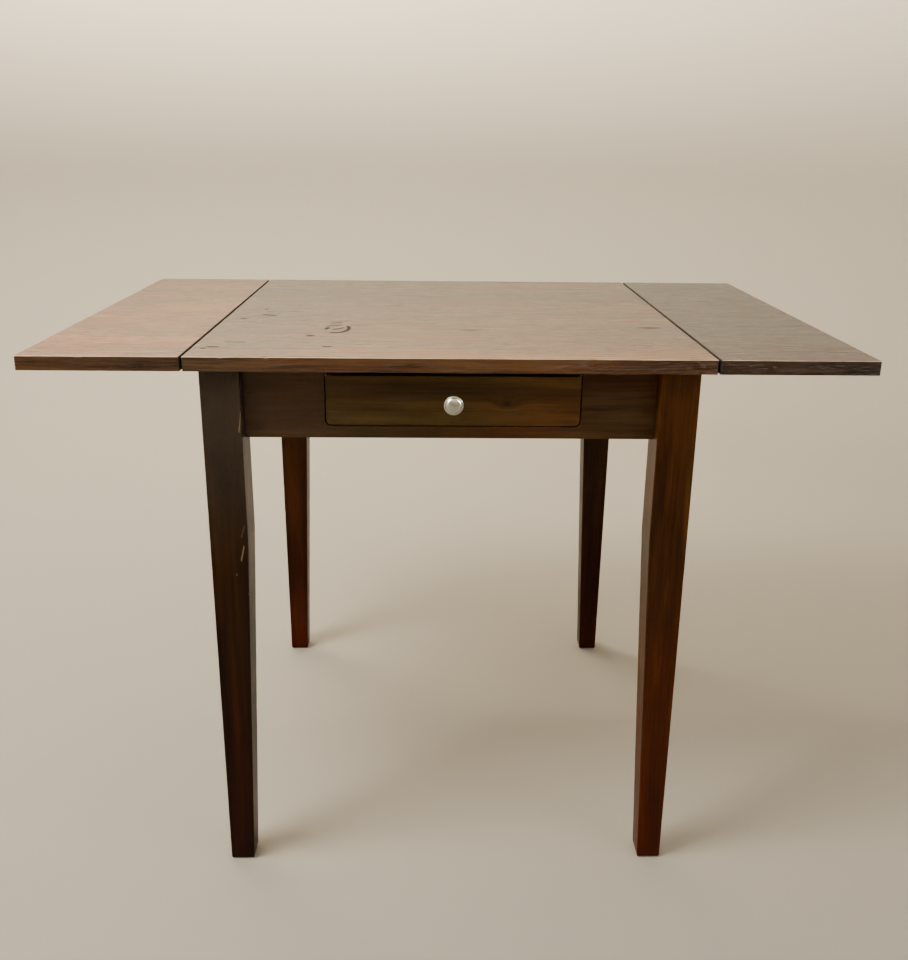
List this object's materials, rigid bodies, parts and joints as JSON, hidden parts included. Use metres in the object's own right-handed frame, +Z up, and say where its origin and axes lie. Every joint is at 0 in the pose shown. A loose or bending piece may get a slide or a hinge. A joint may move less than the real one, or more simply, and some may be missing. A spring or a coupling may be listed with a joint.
{
  "type": "drop leaf table",
  "caption": "Drop leaf table in dark stained wood: hinged end leaves on swing-out supports, square legs tapered on their inner faces, and a shallow drawer with a turned metal knob.",
  "frame": {"origin": "on the floor, under the middle of the table with both leaves open", "axes": "+X along the table's length towards the right leaf, +Y from the drawer front to the back, +Z up"},
  "size_m": [1.077, 0.66, 0.762],
  "materials": {
    "top_wood": "worn satin brown stain",
    "dark_wood": "satin dark brown stain",
    "drawer_wood": "satin dark brown stain",
    "plain_wood": "unfinished",
    "plywood": "unfinished",
    "satin_nickel": "satin nickel plate",
    "hinge_brass": "dull brass plate",
    "zinc_steel": "zinc plate"
  },
  "bodies": {
    "base": {"top_panel": "top_wood", "front_apron": "dark_wood", "back_apron": "dark_wood", "left_apron": "dark_wood", "right_apron": "dark_wood", "leg_front_left": "dark_wood", "leg_front_right": "dark_wood", "leg_back_left": "dark_wood", "leg_back_right": "dark_wood", "corner_block_front_left": "plain_wood", "corner_block_front_right": "plain_wood", "corner_block_back_left": "plain_wood", "corner_block_back_right": "plain_wood", "leg_bolt_front_left": "zinc_steel", "leg_bolt_front_right": "zinc_steel", "leg_bolt_back_left": "zinc_steel", "leg_bolt_back_right": "zinc_steel", "leg_nut_front_left": "zinc_steel", "leg_nut_front_right": "zinc_steel", "leg_nut_back_left": "zinc_steel", "leg_nut_back_right": "zinc_steel", "top_screw_front_left": "zinc_steel", "top_screw_front_right": "zinc_steel", "top_screw_back_left": "zinc_steel", "top_screw_back_right": "zinc_steel", "left_support_block": "dark_wood", "left_support_pin": "zinc_steel", "left_runner": "plain_wood", "left_kicker": "plain_wood", "left_hinge_front_top_plate": "hinge_brass", "left_hinge_front_pin": "hinge_brass", "left_hinge_back_top_plate": "hinge_brass", "left_hinge_back_pin": "hinge_brass", "right_support_block": "dark_wood", "right_support_pin": "zinc_steel", "right_runner": "plain_wood", "right_kicker": "plain_wood", "right_hinge_front_top_plate": "hinge_brass", "right_hinge_front_pin": "hinge_brass", "right_hinge_back_top_plate": "hinge_brass", "right_hinge_back_pin": "hinge_brass", "drawer_stop_block": "plain_wood"},
    "left_leaf": {"left_leaf": "top_wood", "left_hinge_front_leaf_plate": "hinge_brass", "left_hinge_back_leaf_plate": "hinge_brass"},
    "right_leaf": {"right_leaf": "top_wood", "right_hinge_front_leaf_plate": "hinge_brass", "right_hinge_back_leaf_plate": "hinge_brass"},
    "left_arm": {"left_support_arm": "dark_wood"},
    "right_arm": {"right_support_arm": "dark_wood"},
    "drawer": {"drawer_front": "drawer_wood", "drawer_left_side": "plain_wood", "drawer_right_side": "plain_wood", "drawer_back": "plain_wood", "drawer_floor": "plywood", "drawer_stop_peg": "plain_wood", "knob": "satin_nickel", "knob_screw": "zinc_steel"}
  },
  "joints": [
    {"name": "left_leaf_drop", "type": "hinge", "parent": "base", "child": "left_leaf", "pos_m": [-0.335, 0, 0.7385], "axis": [0, 1, 0], "range_deg": [-90, 0]},
    {"name": "right_leaf_drop", "type": "hinge", "parent": "base", "child": "right_leaf", "pos_m": [0.335, 0, 0.7385], "axis": [0, -1, 0], "range_deg": [-90, 0]},
    {"name": "left_arm_swing", "type": "hinge", "parent": "base", "child": "left_arm", "pos_m": [-0.308, -0.02, 0.7424], "axis": [0, 0, 1], "range_deg": [0, 90]},
    {"name": "right_arm_swing", "type": "hinge", "parent": "base", "child": "right_arm", "pos_m": [0.308, -0.02, 0.7424], "axis": [0, 0, -1], "range_deg": [0, 90]},
    {"name": "drawer_slide", "type": "slide", "parent": "base", "child": "drawer", "axis": [0, -1, 0], "range_m": [0, 0.3]}
  ]
}
